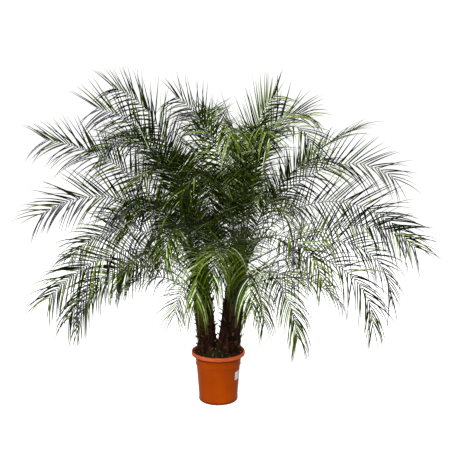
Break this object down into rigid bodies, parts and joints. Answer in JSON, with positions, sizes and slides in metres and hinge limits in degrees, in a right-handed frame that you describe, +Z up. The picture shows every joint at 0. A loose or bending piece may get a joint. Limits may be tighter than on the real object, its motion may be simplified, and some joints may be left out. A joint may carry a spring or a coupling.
{
  "type": "potted pygmy date palm",
  "caption": "Clumped feather palm: two leaning fibrous stems in a round plastic nursery pot, under a wide crown of arching fronds.",
  "frame": {"origin": "centre of the pot's flat underside, on the surface that it stands on", "axes": "+Z up; +X to the right in the picture's view, from the left stem to the right stem; -Y towards the camera"},
  "size_m": [2.165, 1.791, 1.7292],
  "materials": {
    "pot": "satin",
    "soil": "matte",
    "bark": "matte",
    "frond": "satin"
  },
  "bodies": {
    "root": {"frond_left_01": "frond", "frond_left_02": "frond", "frond_left_03": "frond", "frond_left_04": "frond", "frond_left_05": "frond", "frond_left_06": "frond", "frond_left_07": "frond", "frond_left_08": "frond", "frond_left_09": "frond", "frond_left_09_outer": "frond", "frond_left_10": "frond", "frond_left_11": "frond", "frond_left_12": "frond", "frond_left_13": "frond", "frond_left_14": "frond", "frond_left_15": "frond", "frond_left_16": "frond", "frond_left_17": "frond", "frond_left_18": "frond", "frond_left_19": "frond", "frond_left_20": "frond", "frond_left_21": "frond", "frond_left_22": "frond", "frond_left_23": "frond", "frond_left_24": "frond", "frond_right_01": "frond", "frond_right_02": "frond", "frond_right_03": "frond", "frond_right_03_outer": "frond", "frond_right_04": "frond", "frond_right_05": "frond", "frond_right_06": "frond", "frond_right_07": "frond", "frond_right_08": "frond", "frond_right_09": "frond", "frond_right_10": "frond", "frond_right_11": "frond", "frond_right_12": "frond", "frond_right_13": "frond", "frond_right_14": "frond", "frond_right_15": "frond", "frond_right_16": "frond", "frond_right_17": "frond", "frond_right_17_outer": "frond", "frond_right_18": "frond", "frond_right_18_outer": "frond", "frond_right_19": "frond", "frond_right_20": "frond", "frond_right_21": "frond", "frond_right_22": "frond", "frond_right_23": "frond", "frond_right_24": "frond", "frond_right_25": "frond", "frond_right_26": "frond", "frond_right_27": "frond", "frond_right_28": "frond", "pot": "pot", "soil": "soil", "stem_left": "bark", "stem_right": "bark"}
  },
  "joints": []
}
